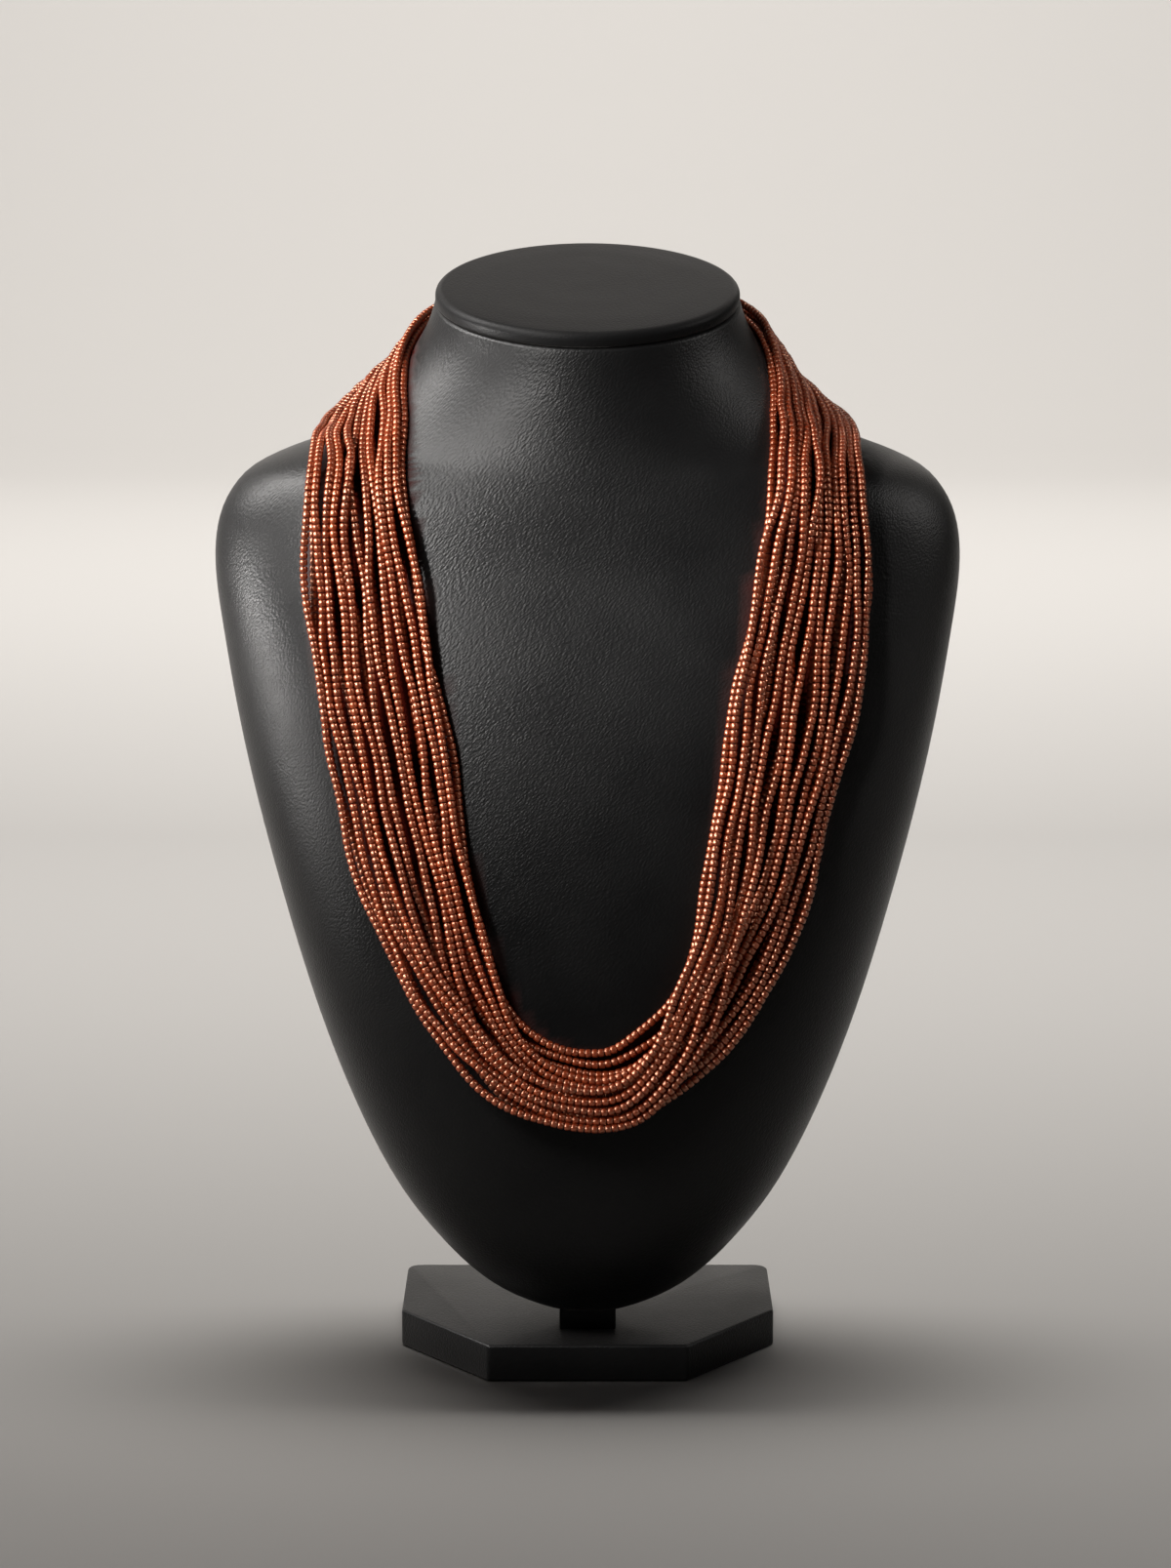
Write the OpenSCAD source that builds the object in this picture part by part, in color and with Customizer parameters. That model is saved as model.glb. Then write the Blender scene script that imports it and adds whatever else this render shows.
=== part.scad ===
// Multi strand necklace of seed beads on a neck bust.
// Millimetres. +Z is up, the chest faces -Y, and the base stands on Z = 0,
// with the origin at the middle of the base's underside.

/* [Bust] */
// Width of the bust across its shoulders
bust_w = 211.4; // [190:0.2:230]
// Height of the bust from its seat on the post to the middle of the neck's top
bust_h = 283.2; // [265:0.2:310]
// Depth of the chest, front to back
bust_d = 105; // [95:1:125]
// Width of the neck at its top
neck_w = 85.8; // [78:0.2:92]
// Depth of the neck at its top
neck_d = 83; // [76:1:90]
// How far the neck's middle stands behind the base's middle
neck_y = 8.5; // [4:0.5:13]
// Forward tilt of the neck's top
neck_tilt = 14.8; // [8:0.2:18]
// How far the groove under the cap cuts into the neck's rim
groove = 1; // [0.4:0.1:1.6]

/* [Cap] */
// Thickness of the cap's rim
cap_t = 4.2; // [3.4:0.2:7]
// Radius of the cap's upper edge
cap_edge = 2.2; // [1.4:0.2:2.4]
// Radius of the cap's lower edge
cap_lip = 0.8; // [0.4:0.1:0.9]
// How far the middle of the cap crowns above its rim
cap_crown = 0.8; // [0.4:0.1:2]

/* [Post] */
// Width of the post
post_w = 16; // [12:0.2:18]
// Depth of the post
post_d = 18; // [14:0.5:20]
// Height of the post between the base and the bust
post_h = 6.2; // [4:0.2:12]
// How far the post stands in front of the base's middle
post_y = 17.6; // [14:0.2:20]

/* [Base] */
// Width of the base
base_w = 107.4; // [96:0.2:120]
// Depth of the base
base_d = 85; // [78:1:100]
// Thickness of the base
base_t = 10.6; // [8:0.2:14]
// Width of each cut front corner
cut_w = 25.6; // [15:0.2:32]
// Depth of each cut front corner
cut_d = 35.8; // [20:0.2:42]
// Radius of the rear corners
rear_r = 4; // [2:0.5:8]

/* [Necklace] */
// Diameter of a string of beads
strand_d = 2.3; // [2:0.1:2.4]
// Clearance between one layer of strings and the next
layer_gap = 0.2; // [0.2:0.05:0.3]
// Least clearance between neighbouring strings of one layer
lane_gap = 0.45; // [0.4:0.05:0.6]
// Clearance between the strings and the bust
rest_gap = 0.6; // [0.4:0.05:0.7]

/* [Clasp] */
// Length of the clasp round the neck
clasp_l = 17; // [14:0.5:22]
// Radius of the clasp's long edges
clasp_r = 2; // [1:0.2:3]

/* [Hidden] */
LANES = [6, 6, 5];
strands = LANES[0] + LANES[1] + LANES[2];
sides = 8;
rings = 50;
columns = 36;
levels = 32;
cap_sides = 96;
arc_step = 15;
joint_gap = 0.2;
end_gap = 0.5;
pitch = strand_d + layer_gap;
lane_pitch = strand_d + lane_gap;
seat_z = base_t + post_h;
top_z = seat_z + bust_h;
seat_edge = 0.7;
seat_w = post_w + 2 * seat_edge;
seat_d = post_d + 2 * seat_edge;

// Sections of the bust from the seat to the neck's top.
// Each row holds: height (share of bust_h), neck (share of the neck's own sizes that the section
// takes), width (share of half of bust_w), front, back and middle (shares of bust_d), squareness.
SECTIONS = [
    [0.000, 0.00, seat_w / bust_w, seat_d / 2 / bust_d, seat_d / 2 / bust_d, -post_y / bust_d, 3.2],
    [0.002, 0.00, 0.112, 0.130, 0.120, -0.171, 2.5],
    [0.009, 0.00, 0.174, 0.171, 0.140, -0.167, 2.3],
    [0.021, 0.00, 0.246, 0.214, 0.163, -0.162, 2.2],
    [0.041, 0.00, 0.322, 0.267, 0.193, -0.152, 2.2],
    [0.075, 0.00, 0.414, 0.329, 0.224, -0.133, 2.2],
    [0.123, 0.00, 0.515, 0.390, 0.257, -0.105, 2.2],
    [0.194, 0.00, 0.618, 0.452, 0.290, -0.067, 2.2],
    [0.286, 0.00, 0.719, 0.495, 0.324, -0.029, 2.2],
    [0.399, 0.00, 0.815, 0.514, 0.357, 0.010, 2.2],
    [0.523, 0.00, 0.903, 0.510, 0.381, 0.043, 2.2],
    [0.646, 0.00, 0.968, 0.486, 0.395, 0.067, 2.2],
    [0.745, 0.00, 1.000, 0.438, 0.395, 0.076, 2.15],
    [0.786, 0.10, 0.947, 0.388, 0.355, 0.070, 2.1],
    [0.814, 0.20, 0.872, 0.342, 0.316, 0.062, 2.07],
    [0.835, 0.30, 0.779, 0.295, 0.277, 0.053, 2.04],
    [0.849, 0.38, 0.672, 0.260, 0.245, 0.046, 2.02],
    [0.863, 0.46, 0.534, 0.225, 0.214, 0.040, 2.0],
    [0.880, 0.56, 0.420, 0.181, 0.174, 0.032, 2.0],
    [0.906, 0.70, 0.284, 0.122, 0.119, 0.022, 2.0],
    [0.939, 0.84, 0.150, 0.065, 0.063, 0.012, 2.0],
    [0.971, 0.95, 0.048, 0.020, 0.020, 0.004, 2.0],
    [1.000, 1.00, 0.000, 0.000, 0.000, 0.000, 2.0]
];

// Route of the band of strings, from the bottom of the necklace up its right side to the clasp.
// Each row holds: the angle round the bust and the height of the band's inner edge, the same of its
// outer edge (degrees from the front, shares of bust_h), where the crossing layer runs (-1 along the
// inner edge, 1 along the outer one), and the share of the band's width that the lower layer takes.
// On the right the upper layer is the crossing one and on the left the middle layer is, so the two
// cross at the bottom. The layer that doesn't cross on a side keeps to the outer edge there.
ROUTE = [
    [2.0, 0.283, 3.5, 0.206, 1.0, 0.70],
    [9.0, 0.302, 18.0, 0.235, 0.45, 0.80],
    [14.6, 0.334, 29.5, 0.287, -0.75, 0.93],
    [17.9, 0.386, 37.5, 0.364, -1.0, 1.0],
    [19.4, 0.470, 42.8, 0.466, -1.0, 1.0],
    [22.9, 0.646, 45.0, 0.646, -1.0, 1.0],
    [25.2, 0.752, 45.8, 0.750, -1.0, 1.0],
    [30.1, 0.832, 50.0, 0.826, -1.0, 1.0],
    [43.6, 0.871, 63.0, 0.853, -1.0, 1.0],
    [54.0, 0.901, 77.0, 0.864, -1.0, 1.0],
    [66.0, 0.924, 88.0, 0.871, -1.0, 1.0],
    [79.0, 0.943, 97.0, 0.876, -1.0, 1.0],
    [95.0, 0.959, 107.0, 0.880, -1.0, 1.0],
    [113.0, 0.967, 120.0, 0.884, -1.0, 1.0],
    [133.0, 0.968, 136.0, 0.888, -1.0, 1.0],
    [153.0, 0.964, 154.0, 0.891, -1.0, 1.0]
];
// Heights of the band's two edges at the clasp, as shares of bust_h
clasp_top_share = 0.959;
clasp_bottom_share = 0.892;

// Row of a table at a place in it: a smooth curve through its rows, whose first column is the place
function row_below(table, x, i = 0) =
    i >= len(table) - 2 || x < table[i + 1][0] ? i : row_below(table, x, i + 1);
function row_slope(table, i) =
    let (a = table[max(i - 1, 0)], b = table[min(i + 1, len(table) - 1)]) (b - a) / (b[0] - a[0]);
function row_at(table, x) =
    let (
        i = row_below(table, x),
        a = table[i],
        b = table[i + 1],
        span = b[0] - a[0],
        s = min(max((x - a[0]) / span, 0), 1)
    )
    (2 * s * s * s - 3 * s * s + 1) * a + (s * s * s - 2 * s * s + s) * span * row_slope(table, i)
        + (3 * s * s - 2 * s * s * s) * b + (s * s * s - s * s) * span * row_slope(table, i + 1);

// Half width, front depth, back depth, middle and squareness of the bust at a height
function section(h) =
    let (r = row_at(SECTIONS, h)) [
        r[2] * bust_w / 2 + r[1] * neck_w / 2,
        r[3] * bust_d + r[1] * neck_d / 2,
        r[4] * bust_d + r[1] * neck_d / 2,
        r[5] * bust_d + r[1] * neck_y,
        r[6]
    ];

// Point on an upright section: the angle is 0 at the front, 90 on the right and 180 at the back
function section_point(s, angle, h) =
    let (
        across = sin(angle),
        along = cos(angle),
        k = pow(pow(abs(across), s[4]) + pow(abs(along), s[4]), -1 / s[4])
    )
    [k * s[0] * across, s[3] - k * (along > 0 ? s[1] : s[2]) * along, seat_z + h * bust_h];
function skin(angle, h) = section_point(section(h), angle, h);

// Outward direction of the skin, from four points close round it
function unit(v) = v / norm(v);
function outward(angle, h) =
    let (step = 0.4, rise = 0.002)
    unit(cross(
        skin(angle + step, h) - skin(angle - step, h),
        skin(angle, min(h + rise, 1)) - skin(angle, h - rise)
    ));

// The upper bust leans so that the neck's top has its tilt
lean_share = 0.74;
function ease(x) = let (c = min(max(x, 0), 1)) c * c * (3 - 2 * c);
function leaned(p) =
    let (share = ease(((p[2] - seat_z) / bust_h - lean_share) / (1 - lean_share)))
    [p[0], p[1], p[2] + share * tan(neck_tilt) * (p[1] - neck_y)];

// Closed solid through rings of equally many points, from the lowest ring to the highest
module through_rings(rings_of_points) {
    n = len(rings_of_points[0]);
    m = len(rings_of_points);
    points = [for (ring = rings_of_points) each ring];
    side_faces = [
        for (i = [0:m - 2], j = [0:n - 1])
            let (a = i * n + j, b = i * n + (j + 1) % n)
            each [[a, a + n, b + n], [a, b + n, b]]
    ];
    first_end = [for (j = [0:n - 1]) j];
    last_end = [for (j = [n - 1:-1:0]) (m - 1) * n + j];
    polyhedron(points = points, faces = concat(side_faces, [first_end, last_end]), convexity = 10);
}

// The rings of the bust lie closer together where its outline turns fastest
function level(i) =
    let (u = i / (levels - 1), rows = len(SECTIONS) - 1, x = u * rows, k = min(floor(x), rows - 1))
    SECTIONS[k][0] + (x - k) * (SECTIONS[k + 1][0] - SECTIONS[k][0]);
function bust_ring(h, inset) =
    let (s = section(h), cut = [s[0] - inset, s[1] - inset, s[2] - inset, s[3], s[4]])
    [for (j = [0:columns - 1]) leaned(section_point(cut, 360 * j / columns, h))];

module bust() {
    rim = 1 - groove / bust_h;
    color("#1d1c1e")
        through_rings(concat(
            [for (i = [0:levels - 2]) bust_ring(level(i), 0)],
            [bust_ring(rim, 0), bust_ring(1, groove)]
        ));
}

// The cap's crown from its rim inwards: shares of its radius and of cap_crown
CROWN = [[0.75, 0.55], [0.4, 0.9], [0, 1]];
module neck_cap() {
    r = neck_w / 2;
    arc = [0:arc_step:90];
    profile = concat(
        [[0, 0]],
        [for (a = arc) [r - cap_lip + cap_lip * sin(a), cap_lip - cap_lip * cos(a)]],
        [for (a = arc) [r - cap_edge + cap_edge * cos(a), cap_t - cap_edge + cap_edge * sin(a)]],
        [for (c = CROWN) [c[0] * r, cap_t + c[1] * cap_crown]]
    );
    color("#222124")
        translate([0, neck_y, top_z])
            rotate([neck_tilt, 0, 0])
                translate([0, 0, joint_gap])
                    rotate_extrude($fn = cap_sides)
                        polygon(profile);
}

module post() {
    color("#161517")
        translate([-post_w / 2, -post_y - post_d / 2, base_t])
            cube([post_w, post_d, post_h - joint_gap]);
}

// Outline of the base: cut front corners and round rear corners
function base_outline() =
    let (
        side = base_w / 2,
        back = base_d / 2,
        right = concat(
            [[side - cut_w, -back], [side, cut_d - back]],
            [for (a = [0:arc_step:90]) [side - rear_r + rear_r * cos(a), back - rear_r + rear_r * sin(a)]]
        )
    )
    concat(right, [for (i = [len(right) - 1:-1:0]) [-right[i][0], right[i][1]]]);

module base() {
    color("#232123")
        linear_extrude(height = base_t)
            polygon(base_outline());
}

// Angle round the bust at which a place at a height stands beside the clasp's end
function clasp_angle(h) = 180 - asin((clasp_l / 2 + end_gap + rest_gap) / section(h)[0]);
half_route = concat(ROUTE, [[
    clasp_angle(clasp_top_share), clasp_top_share, clasp_angle(clasp_bottom_share), clasp_bottom_share, -1, 1
]]);
route_rows = 2 * (len(half_route) - 1);

// The band's edges as points on the skin, from the clasp's left end round to its right end, with
// where the middle and the upper layer run and the share of the width that the lower one takes
function edge_row(i, row, side) = concat(
    [i],
    skin(side * row[0], row[1]),
    skin(side * row[2], row[3]),
    side < 0 ? [row[4], 1] : [1, row[4]],
    [row[5]]
);
EDGES = [
    for (i = [0:route_rows])
        let (k = i - route_rows / 2) edge_row(i, half_route[abs(k)], k < 0 ? -1 : 1)
];

// Angle and height of the skin level with a point
function level_with(p) =
    let (h = (p[2] - seat_z) / bust_h, s = section(h), ahead = s[3] - p[1])
    [atan2(p[0] / s[0], ahead / (ahead > 0 ? s[1] : s[2])), h];

// Place on the skin nearer to a point than the place a is
function nearer(p, a) =
    let (n = outward(a[0], a[1]))
    level_with(p - ((p - skin(a[0], a[1])) * n) * n);

// Point over the place on the skin that is nearest to p, lifted off the skin by a height
function over_skin(p, height) =
    let (b = nearer(p, nearer(p, level_with(p))))
    skin(b[0], b[1]) + height * outward(b[0], b[1]);

// How a layer's lanes lie across the band: its middle and its span, from lane to lane.
// The lower layer (0) spreads over the whole band, and towards the bottom over its inner part. The
// middle (1) and the upper one (2) lie side by side on the sides and over each other at the bottom.
function band_width(r) = norm([r[4] - r[1], r[5] - r[2], r[6] - r[3]]);
function least_span(layer) = (LANES[layer] - 1) * lane_pitch;
function open_span(r) = max(band_width(r) - strand_d, least_span(1));
function layer_span(r, layer) =
    layer == 0 ? max(least_span(0), open_span(r) * r[9])
    : max(least_span(layer), open_span(r) * (LANES[layer] - 1) / (LANES[1] + LANES[2] - 1));
function layer_shift(r, layer) =
    let (run = layer == 0 ? -1 : min(max(r[6 + layer], -1), 1), room = (open_span(r) - layer_span(r, layer)) / 2)
    run * room;
function apart(u) =
    let (r = row_at(EDGES, u))
    abs(layer_shift(r, 1) - layer_shift(r, 2)) - (layer_span(r, 1) + layer_span(r, 2)) / 2;

// The upper layer rises over the middle one a little before the two meet: it starts where they are
// lift_start of a pitch apart, and is up after 1 / lift_speed of a pitch more
lift_start = 1.06;
lift_speed = 2.5;
ring_step = route_rows / (rings - 1);
function lift(u) =
    let (least = min([for (d = [-1:1]) apart(min(max(u + d * ring_step, 0), route_rows))]))
    pitch * ease(lift_speed * (lift_start - max(least, 0) / pitch));

// Centre line of one string
function string_point(layer, lane, u) =
    let (
        r = row_at(EDGES, u),
        inner = [r[1], r[2], r[3]],
        outer = [r[4], r[5], r[6]],
        place = layer_shift(r, layer) + (lane / (LANES[layer] - 1) - 0.5) * layer_span(r, layer),
        rise = layer == 0 ? 0 : layer == 1 ? pitch : pitch + lift(u),
        height = rest_gap + strand_d / 2 + rise,
        middle = over_skin((inner + outer) / 2, height)
    )
    leaned(over_skin(middle + place * unit(outer - inner), height));

module strand(number) {
    layer = number <= LANES[0] ? 0 : number <= LANES[0] + LANES[1] ? 1 : 2;
    lane = number - 1 - (layer > 0 ? LANES[0] : 0) - (layer > 1 ? LANES[1] : 0);
    line = [for (i = [0:rings - 1]) string_point(layer, lane, i * ring_step)];
    tube = [for (i = [0:rings - 1])
        let (
            ahead = unit(line[min(i + 1, rings - 1)] - line[max(i - 1, 0)]),
            away = unit([line[i][0], (line[i][1] - neck_y), 0]),
            across = unit(cross(ahead, away)),
            up = cross(across, ahead)
        )
        [for (j = [0:sides - 1])
            let (a = 360 * (j + 0.5) / sides) line[i] + strand_d / 2 * (cos(a) * up + sin(a) * across)]
    ];
    color(layer == 2 ? "#b5632f" : layer == 1 ? "#a3552a" : "#6e3218")
        through_rings(tube);
}

module clasp() {
    high = leaned(skin(180, clasp_top_share));
    low = leaned(skin(180, clasp_bottom_share));
    thick = strand_d + 2 * pitch;
    tall = high[2] - low[2];
    color("#b98a5a")
        translate([-clasp_l / 2, max(high[1], low[1]) + rest_gap + thick / 2, (high[2] + low[2]) / 2])
            rotate([90, 0, 90])
                linear_extrude(height = clasp_l)
                    polygon([for (c = [[1, 1, 0], [-1, 1, 90], [-1, -1, 180], [1, -1, 270]], a = [0:arc_step:90])
                        [c[0] * (thick / 2 - clasp_r) + clasp_r * cos(c[2] + a),
                         c[1] * (tall / 2 - clasp_r) + clasp_r * sin(c[2] + a)]]);
}

base();
post();
bust();
neck_cap();
clasp();
for (i = [1:strands])
    strand(i);
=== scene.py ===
"""Looks of a multi strand necklace of seed beads on its neck bust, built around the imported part.

Metres, in the part's own frame: +Z is up, the chest faces -Y, and the base stands on Z = 0.
"""
import math

import bmesh
import bpy
import numpy as np
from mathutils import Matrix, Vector
from mathutils.bvhtree import BVHTree
from mathutils.kdtree import KDTree


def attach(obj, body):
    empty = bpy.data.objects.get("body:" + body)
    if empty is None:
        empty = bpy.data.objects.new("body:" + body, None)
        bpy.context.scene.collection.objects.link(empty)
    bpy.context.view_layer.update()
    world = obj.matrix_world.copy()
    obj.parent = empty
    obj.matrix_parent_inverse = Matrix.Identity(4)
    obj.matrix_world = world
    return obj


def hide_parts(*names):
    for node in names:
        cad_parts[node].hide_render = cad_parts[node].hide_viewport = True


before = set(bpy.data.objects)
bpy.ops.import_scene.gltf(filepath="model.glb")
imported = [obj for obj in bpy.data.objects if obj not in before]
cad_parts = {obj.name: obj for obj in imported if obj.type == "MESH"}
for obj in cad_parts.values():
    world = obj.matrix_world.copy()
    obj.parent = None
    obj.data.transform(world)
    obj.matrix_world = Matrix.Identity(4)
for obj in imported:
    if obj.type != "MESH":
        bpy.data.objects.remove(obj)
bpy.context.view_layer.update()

rng = np.random.default_rng(7)
MM = 0.001

# Strings of beads
STRANDS = sorted(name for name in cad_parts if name.startswith("strand_"))
TUBE_SIDES = 8
BEAD_PITCH = 1.9 * MM
BEAD_LENGTH = 1.86 * MM
BEAD_SIDES = 12
THREAD_RADIUS = 0.3 * MM
THREAD_SIDES = 5
ROUTE_STEPS = 2000
# Half section of a bead: place along it (share of half its length) and radius (share of its own).
# The bore's radius is 0.42 mm where the bead's is 1.15 mm.
BORE_SHARE = 0.42 / 1.15
BEAD_PROFILE = np.array([
    [-0.98, BORE_SHARE],
    [-0.93, 0.84],
    [-0.52, 1.00],
    [0.52, 1.00],
    [0.93, 0.84],
    [0.98, BORE_SHARE],
])
# How uneven the beads are: tilt, and the ranges of length and width as shares
BEAD_TILT = 0.055
LENGTH_RANGE = (0.92, 1.02)
WIDTH_RANGE = (0.93, 1.0)
# Tint from dark (0) to light (1): the range of the strings, and how much the beads of one string differ
STRING_TINTS = (0.25, 0.75)
BEAD_TINT_SPREAD = 0.12

# Waves of each string along the skin: length and height. Each string stretches them by its own share,
# and they fade towards its ends.
WAVES = [(95 * MM, 0.90 * MM), (47 * MM, 0.60 * MM), (21 * MM, 0.18 * MM)]
WAVE_STRETCH = (0.8, 1.25)
WAVE_FADE = 25 * MM
# Waves away from the skin, as a share of those along it
LIFT_SHARE = 0.5
# From the first of these heights to the second the waves calm down, to this share
CALM_HEIGHTS = (265 * MM, 300 * MM)
CALM_SHARE = 0.15
# From the first of these heights to the second, and above it, the strings are drawn in to the neck,
# by up to this share of their distance from it
HUG_HEIGHTS = (258 * MM, 282 * MM)
HUG_SHARE = 0.42

# How the strings settle: steps, and after how many of them neighbours and skin are looked up again
SETTLE_STEPS = 80
LOOK_AGAIN = 5
# Shares moved in one step: back to the string's own course, straight, and apart from a neighbour
HOLD = 0.06
STIFFNESS = 0.25
PUSH_SHARE = 0.4
# How far from touching a bead still counts as a neighbour, and the gap that is kept to the skin
NEIGHBOUR_MARGIN = 0.6 * MM
SKIN_GAP = 0.1 * MM

# The bust: points round a CAD section and round a smooth one, and rows of the smooth skin
COLUMNS = 36
SMOOTH_COLUMNS = 144
ROW_STEP = 2.6 * MM
RIM_STEPS = 5
# Painted shade on the skin under the strings, where beads crowd round it: reach, and counts of beads where
# the painted shade starts and where it is full
PAINTED_SHADE_REACH = 7.0 * MM
PAINTED_SHADE_CROWD = (14, 22)
# Colour of the painted shade: near black, with a painted deep red glow
PAINTED_SHADE_COLOUR = (0.022, 0.0022, 0.0012)
# Wrinkles of the leatherette: slant in degrees, and how many there are in a metre along and across them
WRINKLE_SLANT = 46
WRINKLE_DENSITY = (900, 1900, 1900)

# The base, the post and the clasp
JOIN_DISTANCE = 1e-6
BASE_EDGE_RADIUS = 0.9 * MM
SMALL_EDGE_RADIUS = 0.4 * MM
EDGE_SEGMENTS = 4

# Softboxes at one distance round the bust. Each has: azimuth from the front (positive to the right),
# elevation, aim, size, power and spread. The stand and the strings have their own, because the black
# cover and the beads need different amounts of light.
LIGHT_DISTANCE = 1.2
SOFTBOX_COLOUR = (1.0, 0.975, 0.95)
STAND_LIGHTS = {
    "edge_light": (-100, 30, (-0.03, 0, 0.30), (0.6, 0.4), 0.73, 30),
    "high_light": (-100, 50, (-0.03, 0, 0.27), (0.6, 0.5), 1.79, 40),
    "front_light": (-50, 40, (0, 0, 0.36), (0.6, 0.6), 2.40, 40),
    "chest_light": (-35, 15, (-0.04, 0, 0.225), (0.4, 0.1), 0.26, 8),
    "shoulder_light": (-85, -10, (-0.03, 0, 0.29), (0.4, 0.2), 0.61, 12),
    "right_light": (90, 25, (0.03, 0, 0.27), (0.6, 0.6), 0.33, 40),
}
STRING_LIGHTS = {
    "string_key_light": (-50, 15, (0, 0, 0.33), (0.8, 0.4), 1.30, 24),
    "string_side_light": (-80, 15, (-0.03, 0, 0.27), (0.6, 0.5), 1.58, 40),
    "string_high_light": (-80, 45, (-0.03, 0, 0.27), (0.6, 0.5), 0.60, 40),
    "string_fill_light": (60, 10, (0, 0, 0.22), (0.6, 0.6), 0.11, 60),
    "string_right_light": (50, 40, (0.06, 0, 0.30), (0.4, 0.2), 0.10, 14),
}
# Lights of the floor and the backdrop alone: place, aim, size, power and spread
ROOM_LIGHTS = {
    "floor_light": ((0, 0.5, 2.4), (0, 0.7, 0), (2.0, 0.8), 13, 60),
    "far_floor_light": ((0, 1.6, 2.4), (0, 1.9, 0), (2.4, 1.6), 3, 70),
    "backdrop_light": ((0, 1.5, 1.8), (0, 4.0, 0.9), (3.0, 0.6), 128, 180),
}
PAPER_COLOUR = (0.44, 0.417, 0.391)

# The camera: its place, and by how many degrees it looks down
CAMERA_PLACE = (-0.0006, -1.225, 0.362)
CAMERA_DOWN = 9.206


# Reading the CAD nodes

def welded(node):
    """Points of a CAD node's mesh, each once, and the set of neighbours of each."""
    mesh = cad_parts[node].data
    corners = np.empty(len(mesh.vertices) * 3, np.float32)
    mesh.vertices.foreach_get("co", corners)
    points, place = np.unique(corners.reshape(-1, 3).round(6), axis=0, return_inverse=True)
    place = place.ravel()
    edges = np.empty(len(mesh.edges) * 2, np.int32)
    mesh.edges.foreach_get("vertices", edges)
    links = [set() for _ in points]
    for a, b in place[edges.reshape(-1, 2)]:
        links[a].add(int(b))
        links[b].add(int(a))
    return points.astype(float), links


def rings_of(node, size, order):
    """Rings of a swept CAD node, from the ring whose points come first in order to the other end."""
    points, links = welded(node)
    ring = [int(i) for i in np.argsort(order(points), kind="stable")[:size]]
    seen = set(ring)
    rings = []
    while ring:
        rings.append(points[ring])
        ring = sorted({b for a in ring for b in links[a]} - seen)
        seen.update(ring)
    return rings


# Curves, faces and pieces

def unit(vectors):
    """Vectors of length one in the same directions."""
    return vectors / np.maximum(np.linalg.norm(vectors, axis=-1, keepdims=True), 1e-12)


def lengths_along(points):
    """Distance along a line of points, from its first one."""
    return np.concatenate([[0], np.cumsum(np.linalg.norm(np.diff(points, axis=0), axis=1))])


def spline(knots, values, places):
    """Smooth curve through rows of values at knots, read at places."""
    count = len(knots)
    gaps = np.diff(knots)
    slopes = np.diff(values, axis=0) / gaps[:, None]
    system = np.eye(count)
    right = np.zeros_like(values)
    for i in range(1, count - 1):
        system[i, i - 1:i + 2] = gaps[i - 1], 2 * (gaps[i - 1] + gaps[i]), gaps[i]
        right[i] = 6 * (slopes[i] - slopes[i - 1])
    bends = np.linalg.solve(system, right)
    i = np.clip(np.searchsorted(knots, places, side="right") - 1, 0, count - 2)
    gap = gaps[i][:, None]
    before = (places - knots[i])[:, None]
    after = gap - before
    curved = (bends[i] * after ** 3 + bends[i + 1] * before ** 3) / (6 * gap)
    straight = (values[i] / gap - bends[i] * gap / 6) * after
    return curved + straight + (values[i + 1] / gap - bends[i + 1] * gap / 6) * before


def closed_tube_faces(rows, columns, first=0):
    """Faces between rows of points, each row a closed ring, and a face over each end."""
    faces = [
        (first + i * columns + j, first + i * columns + (j + 1) % columns,
         first + (i + 1) * columns + (j + 1) % columns, first + (i + 1) * columns + j)
        for i in range(rows - 1) for j in range(columns)
    ]
    last = first + (rows - 1) * columns
    faces.append(tuple(range(first, first + columns))[::-1])
    faces.append(tuple(range(last, last + columns)))
    return faces


def new_piece(name, points, faces, materials, replaced, smooth_below=180):
    """A mesh piece that rides on the part's body and stands for the CAD nodes in replaced."""
    mesh = bpy.data.meshes.new(name)
    mesh.from_pydata(np.asarray(points).tolist(), [], faces)
    mesh.update()
    piece = bpy.data.objects.new(name, mesh)
    bpy.context.scene.collection.objects.link(piece)
    for material in materials:
        mesh.materials.append(material)
    mesh.polygons.foreach_set("use_smooth", np.ones(len(mesh.polygons), bool))
    if smooth_below < 180:
        mesh.set_sharp_from_angle(angle=math.radians(smooth_below))
    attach(piece, "root")
    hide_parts(*replaced)
    return piece


def store_values(mesh, name, values):
    """Keep a number with each point of a mesh, for its material to read."""
    attribute = mesh.attributes.new(name, "FLOAT", "POINT")
    attribute.data.foreach_set("value", np.asarray(values, np.float32))


# Materials

def new_material(name):
    """A node material: its tree, its shader, and a function that adds a node with inputs set by name."""
    material = bpy.data.materials.new(name)
    material.use_nodes = True
    tree = material.node_tree
    shader = tree.nodes["Principled BSDF"]

    def add(kind, inputs=None, **settings):
        node = tree.nodes.new(kind)
        for key, value in settings.items():
            setattr(node, key, value)
        for key, value in (inputs or {}).items():
            if isinstance(value, bpy.types.NodeSocket):
                tree.links.new(value, node.inputs[key])
            else:
                node.inputs[key].default_value = value
        return node

    return material, tree, shader, add


def ramp(add, factor, stops):
    """Colour of a ramp node with stops of (place, colour)."""
    node = add("ShaderNodeValToRGB", {"Fac": factor})
    elements = node.color_ramp.elements
    while len(elements) < len(stops):
        elements.new(0.5)
    for element, (place, colour) in zip(elements, stops):
        element.position = place
        element.color = (*colour, 1)
    return node.outputs["Color"]


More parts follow.
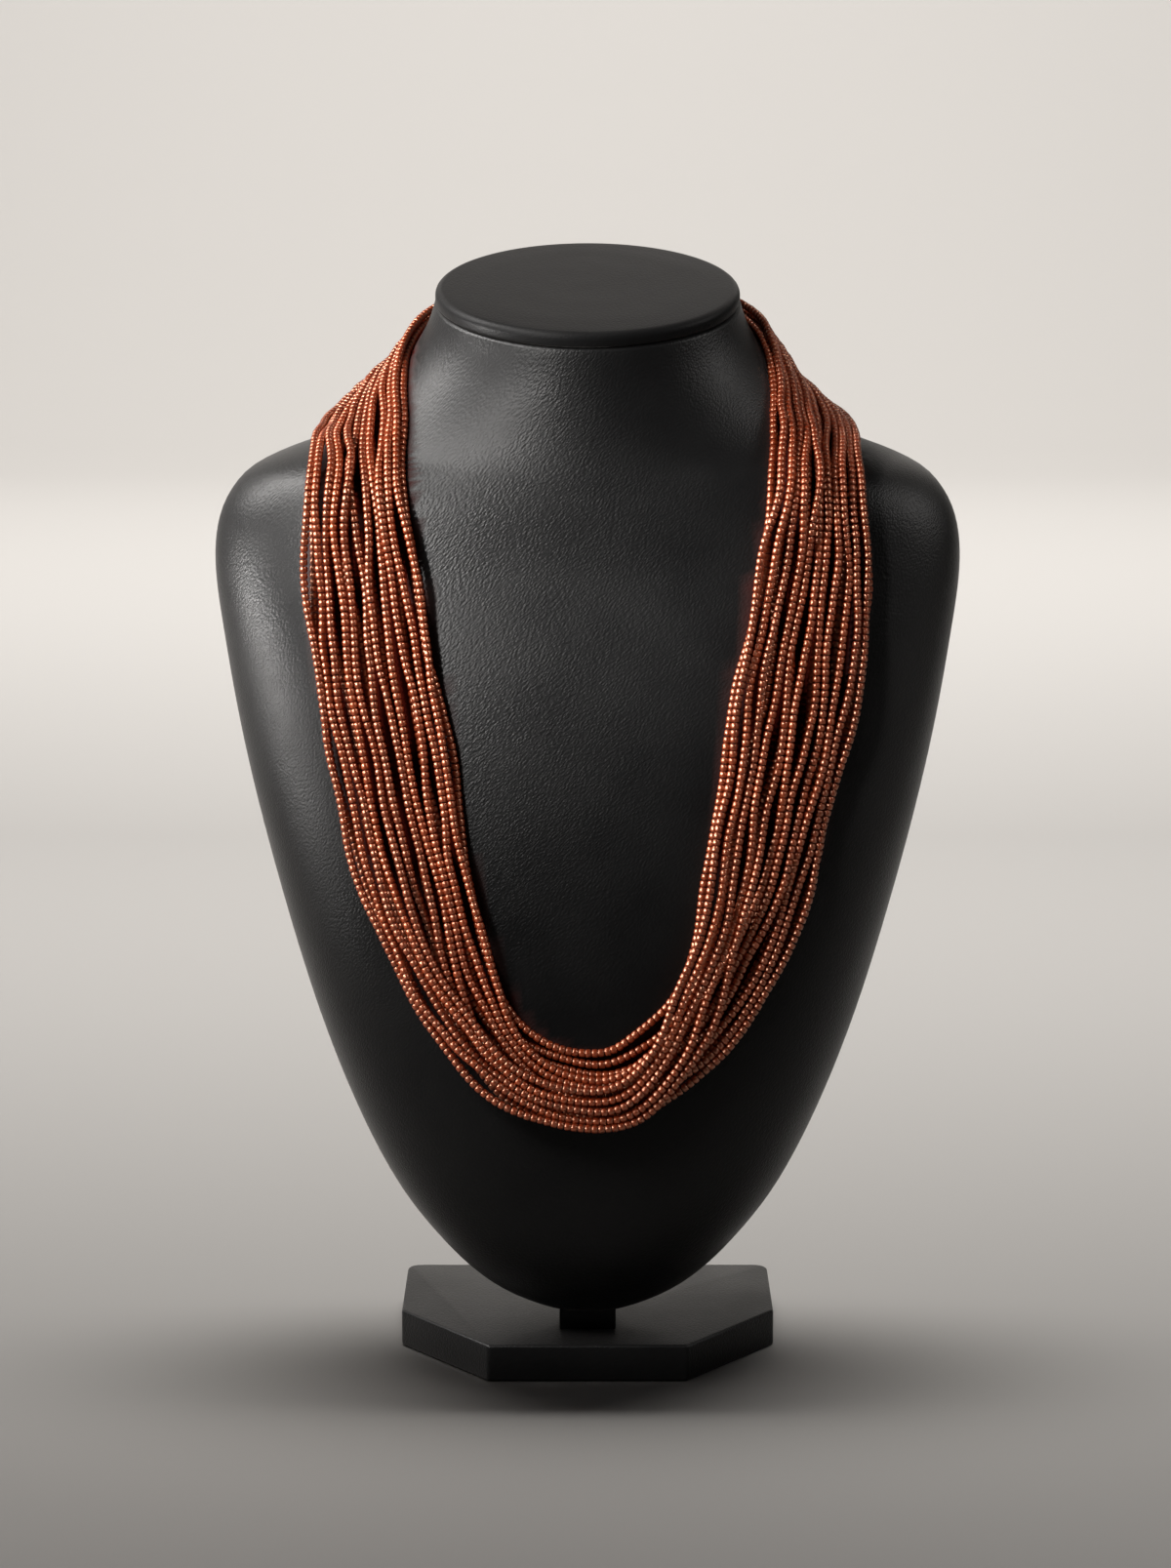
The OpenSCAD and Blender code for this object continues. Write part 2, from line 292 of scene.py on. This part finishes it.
def wrinkles(add, where, depth):
    """Normal of fine short wrinkles that slant up to the right."""
    slant = (0, math.radians(WRINKLE_SLANT), 0)
    slanted = add("ShaderNodeMapping", {"Vector": where, "Rotation": slant})
    stretched = add("ShaderNodeMapping", {"Vector": slanted.outputs[0], "Scale": WRINKLE_DENSITY})
    pebbles = add(
        "ShaderNodeTexVoronoi",
        {"Vector": stretched.outputs[0], "Scale": 1.0, "Randomness": 0.85, "Smoothness": 0.6},
        feature="SMOOTH_F1",
    )
    bump = add(
        "ShaderNodeBump",
        {"Height": pebbles.outputs["Distance"], "Strength": 1.0, "Distance": depth},
        invert=True,
    )
    return bump.outputs["Normal"]


def leatherette(name, dark, light, roughness, gloss, grain_depth):
    """Black leatherette with a soft sheen. Under the strings it has painted shade: near black, with a
    painted deep red glow, and matt.
    """
    material, tree, shader, add = new_material(name)
    where = add("ShaderNodeTexCoord").outputs["Object"]
    patches = add("ShaderNodeTexNoise", {"Vector": where, "Scale": 35.0, "Detail": 4.0})
    shade = ramp(add, patches.outputs["Fac"], [(0.3, dark), (0.75, light)])
    worn = add(
        "ShaderNodeMapRange",
        {"Value": patches.outputs["Fac"], "From Min": 0.3, "From Max": 0.7,
         "To Min": roughness - 0.04, "To Max": roughness + 0.05},
    )
    # Painted shade under the strings: a mask that turns the colour near black with a deep red glow, and the
    # surface matt
    under = add("ShaderNodeAttribute", attribute_name="under").outputs["Fac"]
    colour = add("ShaderNodeMix", {"Factor": under, "A": shade, "B": (*PAINTED_SHADE_COLOUR, 1)}, data_type="RGBA")
    rough = add("ShaderNodeMix", {"Factor": under, "A": worn.outputs["Result"], "B": 0.95})
    tree.links.new(colour.outputs[2], shader.inputs["Base Color"])
    tree.links.new(rough.outputs[0], shader.inputs["Roughness"])
    tree.links.new(wrinkles(add, where, grain_depth), shader.inputs["Normal"])
    shader.inputs["Specular IOR Level"].default_value = gloss
    shader.inputs["Sheen Weight"].default_value = 0.05
    shader.inputs["Sheen Roughness"].default_value = 0.45
    shader.inputs["Sheen Tint"].default_value = (0.9, 0.86, 0.82, 1)
    return material


def bead_glass():
    """Deep amber glass with a coppery lustre: orange-brown at a bead's middle, and painted shade darkening
    it to dark red towards its ends, where the beads meet.
    """
    material, tree, shader, add = new_material("copper_lined_glass")
    along = add("ShaderNodeAttribute", attribute_name="along").outputs["Fac"]
    tint = add("ShaderNodeAttribute", attribute_name="tint").outputs["Fac"]
    tints = [(0.0, (0.11, 0.010, 0.002)), (0.5, (0.19, 0.020, 0.003)), (1.0, (0.29, 0.036, 0.005))]
    # Painted shade where the beads meet: the colour darkens towards each bead's ends
    painted_end_shade = [(0.0, (1, 1, 1)), (0.7, (0.92, 0.84, 0.76)), (0.98, (0.62, 0.38, 0.28))]
    body = add(
        "ShaderNodeMix",
        {"Factor": 1.0, "A": ramp(add, tint, tints), "B": ramp(add, along, painted_end_shade)},
        data_type="RGBA", blend_type="MULTIPLY",
    )
    tree.links.new(body.outputs[2], shader.inputs["Base Color"])
    shader.inputs["Roughness"].default_value = 0.32
    shader.inputs["IOR"].default_value = 2.4
    shader.inputs["Specular IOR Level"].default_value = 0.75
    shader.inputs["Specular Tint"].default_value = (1.0, 0.55, 0.35, 1)
    shader.inputs["Coat Weight"].default_value = 0.15
    shader.inputs["Coat Roughness"].default_value = 0.12
    shader.inputs["Coat Tint"].default_value = (1.0, 0.93, 0.86, 1)
    return material


def thread_fibre():
    """Dark brown beading thread with a fine twist."""
    material, tree, shader, add = new_material("beading_thread")
    where = add("ShaderNodeTexCoord").outputs["Object"]
    twist = add("ShaderNodeTexWave", {"Vector": where, "Scale": 900.0, "Distortion": 2.0})
    shade = ramp(add, twist.outputs["Fac"], [(0.0, (0.018, 0.006, 0.004)), (1.0, (0.05, 0.016, 0.010))])
    tree.links.new(shade, shader.inputs["Base Color"])
    shader.inputs["Roughness"].default_value = 0.8
    return material


def clasp_metal():
    """Copper-toned satin metal with fine brushing and small handling marks."""
    material, tree, shader, add = new_material("clasp_metal")
    where = add("ShaderNodeTexCoord").outputs["Object"]
    brushed = add("ShaderNodeMapping", {"Vector": where, "Scale": (120, 4000, 4000)})
    lines = add("ShaderNodeTexNoise", {"Vector": brushed.outputs[0], "Scale": 1.0, "Detail": 5.0})
    marks = add("ShaderNodeTexNoise", {"Vector": where, "Scale": 180.0, "Detail": 3.0})
    shade = ramp(add, marks.outputs["Fac"], [(0.3, (0.50, 0.25, 0.13)), (0.7, (0.66, 0.38, 0.22))])
    rough = add(
        "ShaderNodeMapRange",
        {"Value": lines.outputs["Fac"], "From Min": 0.3, "From Max": 0.7, "To Min": 0.24, "To Max": 0.42},
    )
    bump = add("ShaderNodeBump", {"Height": lines.outputs["Fac"], "Strength": 0.3, "Distance": 0.05 * MM})
    tree.links.new(shade, shader.inputs["Base Color"])
    tree.links.new(rough.outputs["Result"], shader.inputs["Roughness"])
    tree.links.new(bump.outputs["Normal"], shader.inputs["Normal"])
    shader.inputs["Metallic"].default_value = 1.0
    return material


# The stand

def ordered_round(ring):
    """Points of a section of the bust in order round it, from the one at the front."""
    just_before_front = 0.01
    middle = ring.mean(axis=0)
    angle = np.arctan2(ring[:, 0] - middle[0], middle[1] - ring[:, 1])
    return ring[np.argsort((angle + just_before_front) % (2 * math.pi))]


def smooth_round(rings):
    """Sections with more points, on smooth closed curves through the points that they have."""
    overlap = 6
    wrapped = np.concatenate([rings[:, -overlap:], rings, rings[:, :overlap]], axis=1)
    knots = np.arange(-overlap, COLUMNS + overlap, dtype=float)
    places = np.arange(SMOOTH_COLUMNS) * COLUMNS / SMOOTH_COLUMNS
    smooth = spline(knots, wrapped.transpose(1, 0, 2).reshape(len(knots), -1), places)
    return smooth.reshape(SMOOTH_COLUMNS, len(rings), 3).transpose(1, 0, 2)


def bust_skin():
    """Rows of points of the smooth bust, from its seat to the inside of its top rim."""
    rings = rings_of("bust", COLUMNS, lambda points: points[:, 2])
    sections = smooth_round(np.array([ordered_round(ring) for ring in rings]))
    body, top = sections[:-1], sections[-1]
    steps = np.linalg.norm(np.diff(body, axis=0), axis=2).mean(axis=1)
    heights = np.concatenate([[0], np.cumsum(steps)])
    rows = max(int(heights[-1] / ROW_STEP), 2)
    skin = spline(heights, body.reshape(len(body), -1), np.linspace(0, heights[-1], rows + 1))
    skin = list(skin.reshape(rows + 1, SMOOTH_COLUMNS, 3))
    up = (top - body[-1]).mean(axis=0)
    inward = top - body[-1] - up
    for k in range(1, RIM_STEPS + 1):
        turn = math.radians(90 * k / RIM_STEPS)
        skin.append(body[-1] + math.sin(turn) * up + (1 - math.cos(turn)) * inward)
    return np.array(skin)


def make_bust(materials):
    """The smooth bust, closed at its seat and its top."""
    skin = bust_skin()
    faces = closed_tube_faces(len(skin), SMOOTH_COLUMNS)
    return new_piece(
        "bust_cover", skin.reshape(-1, 3), faces, materials, ["bust"], smooth_below=50
    )


def paint_shade_under_strings(bust, bead_points):
    """Paint shade on the bust's skin under the strings, where beads crowd round it, with a painted deep red
    glow.
    """
    tree = KDTree(len(bead_points))
    for i, point in enumerate(bead_points):
        tree.insert(Vector(point), i)
    tree.balance()
    mesh = bust.data
    crowd = np.array([len(tree.find_range(vertex.co, PAINTED_SHADE_REACH)) for vertex in mesh.vertices])
    under = np.clip((crowd - PAINTED_SHADE_CROWD[0]) / (PAINTED_SHADE_CROWD[1] - PAINTED_SHADE_CROWD[0]), 0, 1)
    store_values(mesh, "under", under)
    # Faces fully in the painted shade take the copy of the cover without gloss
    for face in mesh.polygons:
        face.material_index = int(under[list(face.vertices)].min() >= 1)


def solid_of(node):
    """A CAD node's solid as a form to edit, with its points joined."""
    form = bmesh.new()
    form.from_mesh(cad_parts[node].data)
    bmesh.ops.remove_doubles(form, verts=form.verts, dist=JOIN_DISTANCE)
    return form


def piece_of(form, node, name, material):
    """The piece that a finished form makes, in place of a CAD node."""
    form.verts.index_update()
    points = [tuple(v.co) for v in form.verts]
    faces = [tuple(v.index for v in f.verts) for f in form.faces]
    form.free()
    return new_piece(name, points, faces, [material], [node], smooth_below=40)


def smooth_copy(node, name, material):
    """Copy of a CAD node's round solid that shades smoothly."""
    return piece_of(solid_of(node), node, name, material)


def rounded_copy(node, name, material, radius):
    """Copy of a CAD node's flat-faced solid with round edges."""
    form = solid_of(node)
    bmesh.ops.dissolve_limit(
        form, angle_limit=math.radians(2), verts=form.verts, edges=form.edges, delimit=set()
    )
    sharp = [e for e in form.edges if e.is_manifold and e.calc_face_angle(0) > math.radians(25)]
    bmesh.ops.bevel(
        form, geom=sharp, offset=radius, segments=EDGE_SEGMENTS, profile=0.5, affect="EDGES",
        clamp_overlap=True,
    )
    return piece_of(form, node, name, material)


# The strings' courses

def from_left_of_clasp(points):
    """Order of a string's points: the nearest to the middle, behind the neck on the left, come first."""
    neck_back = 30 * MM
    behind_left = (points[:, 0] < 0) & (points[:, 1] > neck_back)
    return np.where(behind_left, -points[:, 0], 1.0)


def strand_route(node):
    """Middle line of a string, from the clasp's left end to its right end, and the string's radius."""
    sample = 5
    rings = rings_of(node, TUBE_SIDES, from_left_of_clasp)
    line = np.array([ring.mean(axis=0) for ring in rings])
    radius = np.linalg.norm(rings[sample] - line[sample], axis=1).mean()
    return line, radius


def bead_places(line):
    """Middles of the beads along a string's line, a pitch apart."""
    knots = lengths_along(line)
    dense = spline(knots, line, np.linspace(0, knots[-1], ROUTE_STEPS))
    along = lengths_along(dense)
    count = int(along[-1] / BEAD_PITCH)
    margin = (along[-1] - (count - 1) * BEAD_PITCH) / 2
    wanted = margin + BEAD_PITCH * np.arange(count)
    return np.stack([np.interp(wanted, along, dense[:, k]) for k in range(3)], axis=1)


def nearest_skin(tree, points):
    """Foot on the skin and outward direction there, for each point."""
    feet, ways = np.empty_like(points), np.empty_like(points)
    for i, point in enumerate(points):
        foot, way, _, _ = tree.find_nearest(Vector(point))
        feet[i], ways[i] = foot, way
    return feet, ways


def close_pairs(points, strand, reach):
    """Pairs of beads of different strings that lie within reach."""
    tree = KDTree(len(points))
    for i, point in enumerate(points):
        tree.insert(Vector(point), i)
    tree.balance()
    pairs = [
        (i, j)
        for i, point in enumerate(points)
        for _, j, _ in tree.find_range(Vector(point), reach)
        if j > i and strand[i] != strand[j]
    ]
    return np.array(pairs).reshape(-1, 2)


def waves_of(starts, places):
    """Shift of each bead, because each string wanders by itself. New waves are drawn at each call."""
    shift = np.zeros(len(places))
    for a, b in zip(starts[:-1], starts[1:]):
        along = lengths_along(places[a:b])
        fade = np.clip(np.minimum(along, along[-1] - along) / WAVE_FADE, 0, 1)
        for length, height in WAVES:
            stretch = length * rng.uniform(*WAVE_STRETCH)
            shift[a:b] += fade * height * np.sin(2 * math.pi * (along / stretch + rng.uniform()))
    low, high = CALM_HEIGHTS
    return shift * np.clip((high - places[:, 2]) / (high - low), CALM_SHARE, 1)


def bead_aims(points, starts, inside, radius, skin_tree):
    """Where each bead would lie if it were alone: on its string's waves, and close to the neck."""
    feet, ways = nearest_skin(skin_tree, points)
    ahead = np.zeros_like(points)
    ahead[inside] = points[inside + 1] - points[inside - 1]
    sideways = unit(np.cross(unit(ahead), ways))
    aims = points + waves_of(starts, points)[:, None] * sideways
    aims += LIFT_SHARE * waves_of(starts, points)[:, None] * ways
    low, high = HUG_HEIGHTS
    hug = HUG_SHARE * np.clip((points[:, 2] - low) / (high - low), 0, 1)
    height = ((aims - feet) * ways).sum(axis=1)
    aims -= (hug * np.maximum(height - radius, 0))[:, None] * ways
    return aims


def push_apart(points, pairs, radius):
    """Move beads of different strings that overlap away from each other."""
    gap = points[pairs[:, 0]] - points[pairs[:, 1]]
    far = np.linalg.norm(gap, axis=1)
    push = np.maximum(2 * radius - far, 0)[:, None] * unit(gap) * PUSH_SHARE
    np.add.at(points, pairs[:, 0], push)
    np.add.at(points, pairs[:, 1], -push)


def lift_out(points, feet, ways, radius):
    """Lift beads that have sunk into the skin."""
    height = ((points - feet) * ways).sum(axis=1)
    points += np.maximum(radius + SKIN_GAP - height, 0)[:, None] * ways


def keep_pitch(points, links, inner):
    """Draw neighbours on a string back to a pitch apart, but not the beads at its ends."""
    for parity in (0, 1):
        these = links[links % 2 == parity]
        gap = points[these + 1] - points[these]
        far = np.linalg.norm(gap, axis=1, keepdims=True)
        pull = (far - BEAD_PITCH) * gap / far / 2
        points[these] += pull * inner[these][:, None]
        points[these + 1] -= pull * inner[these + 1][:, None]


def settled(lines, radius, skin_tree):
    """Beads of all strings once they have settled against the bust and each other."""
    starts = np.concatenate([[0], np.cumsum([len(line) for line in lines])])
    strand = np.repeat(np.arange(len(lines)), np.diff(starts))
    points = np.concatenate(lines)
    inner = np.ones(len(points), bool)
    inner[starts[:-1]] = False
    inner[starts[1:] - 1] = False
    inside = np.flatnonzero(inner)
    links = np.flatnonzero(strand[:-1] == strand[1:])
    aims = bead_aims(points, starts, inside, radius, skin_tree)
    points = np.where(inner[:, None], aims, points)
    for step in range(SETTLE_STEPS):
        if step % LOOK_AGAIN == 0:
            feet, ways = nearest_skin(skin_tree, points)
            pairs = close_pairs(points, strand, 2 * radius + NEIGHBOUR_MARGIN)
        points[inside] += HOLD * (aims[inside] - points[inside])
        middle = (points[inside - 1] + points[inside + 1]) / 2
        points[inside] += STIFFNESS * (middle - points[inside])
        push_apart(points, pairs, radius)
        lift_out(points, feet, ways, radius)
        keep_pitch(points, links, inner)
    return [points[a:b] for a, b in zip(starts[:-1], starts[1:])]


# The beads and the thread

def frames_along(places):
    """Direction, side and up of the string at each bead, turning as little as it can."""
    ahead = unit(np.gradient(places, axis=0))
    side = np.empty_like(ahead)
    last = np.cross(ahead[0], (0, 0, 1))
    for i, way in enumerate(ahead):
        last = last - way * (last @ way)
        last = last / np.linalg.norm(last)
        side[i] = last
    return ahead, side, np.cross(ahead, side)


def bead_points(places, radius, ahead, side, up):
    """Points of a string's drilled beads, of uneven length, width and tilt."""
    count = len(places)
    tilt = rng.normal(0, BEAD_TILT, (count, 2))
    axis = unit(ahead + tilt[:, :1] * side + tilt[:, 1:] * up)
    across = unit(side - axis * (side * axis).sum(axis=1, keepdims=True))
    over = np.cross(axis, across)
    half = BEAD_LENGTH / 2 * rng.uniform(*LENGTH_RANGE, count)
    wide = radius * rng.uniform(*WIDTH_RANGE, count)
    turn = 2 * math.pi * (np.arange(BEAD_SIDES) / BEAD_SIDES + rng.uniform(size=(count, 1)))
    round_about = (
        np.cos(turn)[:, :, None] * across[:, None, :] + np.sin(turn)[:, :, None] * over[:, None, :]
    )
    return (
        places[:, None, None, :]
        + (BEAD_PROFILE[:, 0] * half[:, None])[:, :, None, None] * axis[:, None, None, :]
        + (BEAD_PROFILE[:, 1] * wide[:, None])[:, :, None, None] * round_about[:, None, :, :]
    )


def bead_faces(count):
    """Faces of that many beads, each closed through its bore."""
    rows = len(BEAD_PROFILE)
    i, j = np.meshgrid(np.arange(rows), np.arange(BEAD_SIDES), indexing="ij")
    this_row, next_row = i * BEAD_SIDES, (i + 1) % rows * BEAD_SIDES
    next_j = (j + 1) % BEAD_SIDES
    corners = [this_row + next_j, next_row + next_j, next_row + j, this_row + j]
    one = np.stack(corners, axis=-1).reshape(-1, 4)
    return (one[None] + (np.arange(count) * rows * BEAD_SIDES)[:, None, None]).reshape(-1, 4)


def thread_points(places, side, up):
    """Points of the thread through the beads."""
    angle = 2 * math.pi * np.arange(THREAD_SIDES) / THREAD_SIDES
    return places[:, None, :] + THREAD_RADIUS * (
        np.cos(angle)[None, :, None] * side[:, None, :] + np.sin(angle)[None, :, None] * up[:, None, :]
    )


def make_strand(number, places, radius, materials, node):
    """One string: its beads and its thread, as one joined piece."""
    count = len(places)
    ahead, side, up = frames_along(places)
    beads = bead_points(places, radius, ahead, side, up)
    thread = thread_points(places, side, up)
    points = np.concatenate([beads.reshape(-1, 3), thread.reshape(-1, 3)])
    of_beads = beads.size // 3
    faces = bead_faces(count).tolist()
    on_beads = len(faces)
    faces += closed_tube_faces(count, THREAD_SIDES, of_beads)
    piece = new_piece(f"bead_string_{number:02d}", points, faces, materials, [node])
    mesh = piece.data
    mesh.polygons.foreach_set("material_index", (np.arange(len(faces)) >= on_beads).astype(np.int32))
    # Place along each bead, for the painted shade towards its ends
    along = np.broadcast_to(np.abs(BEAD_PROFILE[:, 0])[None, :, None], beads.shape[:3]).ravel()
    tints = np.clip(rng.uniform(*STRING_TINTS) + rng.normal(0, BEAD_TINT_SPREAD, count), 0, 1)
    tint = np.broadcast_to(tints[:, None, None], beads.shape[:3]).ravel()
    none_on_thread = np.zeros(len(points) - of_beads)
    store_values(mesh, "along", np.concatenate([along, none_on_thread]))
    store_values(mesh, "tint", np.concatenate([tint, none_on_thread]))
    return piece


def make_strands(bust):
    """All strings, settled on the bust, with painted shade on its skin under them."""
    routes = [strand_route(node) for node in STRANDS]
    radius = routes[0][1]
    skin_tree = BVHTree.FromPolygons(
        [Vector(v.co) for v in bust.data.vertices], [tuple(p.vertices) for p in bust.data.polygons]
    )
    beads = settled([bead_places(line) for line, _ in routes], radius, skin_tree)
    paint_shade_under_strings(bust, np.concatenate(beads))
    materials = [bead_glass(), thread_fibre()]
    return [
        make_strand(number, places, radius, materials, node)
        for number, (node, places) in enumerate(zip(STRANDS, beads), start=1)
    ]


# The room

def studio_paper():
    """Matt pale paper of one colour."""
    material, _, shader, _ = new_material("studio_paper")
    shader.inputs["Base Color"].default_value = (*PAPER_COLOUR, 1)
    shader.inputs["Roughness"].default_value = 0.8
    return material


def make_floor():
    """Pale floor that sweeps up into a backdrop behind the object."""
    half_width, front, bend_start, bend_radius, top = 6.0, -5.0, 2.8, 1.2, 6.0
    bend_steps = 12
    line = [(front, 0.0), (bend_start, 0.0)]
    for k in range(1, bend_steps + 1):
        turn = math.radians(90 * k / bend_steps)
        line.append((bend_start + bend_radius * math.sin(turn), bend_radius * (1 - math.cos(turn))))
    line.append((bend_start + bend_radius, top))
    points = [(side * half_width, y, z) for y, z in line for side in (-1, 1)]
    faces = [(2 * i, 2 * i + 1, 2 * i + 3, 2 * i + 2) for i in range(len(line) - 1)]
    mesh = bpy.data.meshes.new("studio_floor")
    mesh.from_pydata(points, [], faces)
    mesh.polygons.foreach_set("use_smooth", np.ones(len(faces), bool))
    mesh.materials.append(studio_paper())
    floor = bpy.data.objects.new("studio_floor", mesh)
    bpy.context.scene.collection.objects.link(floor)
    return floor


def light_group(name, members):
    """Collection that a light is limited to."""
    group = bpy.data.collections.new(name)
    for member in members:
        group.objects.link(member)
    return group


def area_light(name, place, aim, size, power, spread, group, colour=(1, 1, 1)):
    """Softbox that lights only the members of a group."""
    data = bpy.data.lights.new(name, "AREA")
    data.spread = math.radians(spread)
    data.shape = "RECTANGLE"
    data.size, data.size_y = size
    data.energy = power
    data.color = colour
    light = bpy.data.objects.new(name, data)
    light.location = place
    light.rotation_euler = (Vector(aim) - Vector(place)).to_track_quat("-Z", "Y").to_euler()
    light.light_linking.receiver_collection = group
    bpy.context.scene.collection.objects.link(light)


def lights_round(table, group):
    """Softboxes of a table of angles, round the bust."""
    for name, (azimuth, elevation, aim, size, power, spread) in table.items():
        turn, lift = math.radians(azimuth), math.radians(elevation)
        place = (
            aim[0] + LIGHT_DISTANCE * math.cos(lift) * math.sin(turn),
            aim[1] - LIGHT_DISTANCE * math.cos(lift) * math.cos(turn),
            aim[2] + LIGHT_DISTANCE * math.sin(lift),
        )
        area_light(name, place, aim, size, power, spread, group, SOFTBOX_COLOUR)


def make_lights(floor, stand, strings):
    """All lights, and a faint even light from the room."""
    lights_round(STAND_LIGHTS, light_group("lit_by_stand_lights", stand))
    lights_round(STRING_LIGHTS, light_group("lit_by_string_lights", strings))
    floor_group = light_group("lit_by_room_lights", [floor])
    for name, (place, aim, size, power, spread) in ROOM_LIGHTS.items():
        area_light(name, place, aim, size, power, spread, floor_group)
    world = bpy.data.worlds.new("studio_world")
    world.use_nodes = True
    world.node_tree.nodes["Background"].inputs["Color"].default_value = (0.95, 0.96, 1.0, 1)
    world.node_tree.nodes["Background"].inputs["Strength"].default_value = 0.02
    bpy.context.scene.world = world


def make_camera():
    """Camera at the photograph's angle, and a picture that shows the colours as they are."""
    data = bpy.data.cameras.new("camera")
    data.lens = 100
    data.sensor_width = 36
    data.clip_start, data.clip_end = 0.05, 20
    camera = bpy.data.objects.new("camera", data)
    camera.location = CAMERA_PLACE
    camera.rotation_euler = (math.radians(90 - CAMERA_DOWN), 0, 0)
    bpy.context.scene.collection.objects.link(camera)
    bpy.context.scene.camera = camera
    bpy.context.scene.view_settings.view_transform = "Standard"


black, worn_black = (0.0028, 0.0028, 0.003), (0.0045, 0.0045, 0.0046)
cover = leatherette("leatherette", black, worn_black, 0.40, 0.17, 0.09 * MM)
# The same leatherette without gloss, for the faces in the painted shade under the strings
painted_shade_cover = leatherette("leatherette_painted_shade", black, worn_black, 0.40, 0.0, 0.09 * MM)
matt_cover = leatherette("leatherette_cap", black, worn_black, 0.46, 0.055, 0.05 * MM)

bust = make_bust([cover, painted_shade_cover])
stand = [
    bust,
    smooth_copy("neck_cap", "neck_cap_cover", matt_cover),
    rounded_copy("base", "base_cover", cover, BASE_EDGE_RADIUS),
    rounded_copy("post", "post_cover", cover, SMALL_EDGE_RADIUS),
    rounded_copy("clasp", "clasp_block", clasp_metal(), SMALL_EDGE_RADIUS),
]
strings = make_strands(bust)
make_lights(make_floor(), stand, strings)
make_camera()
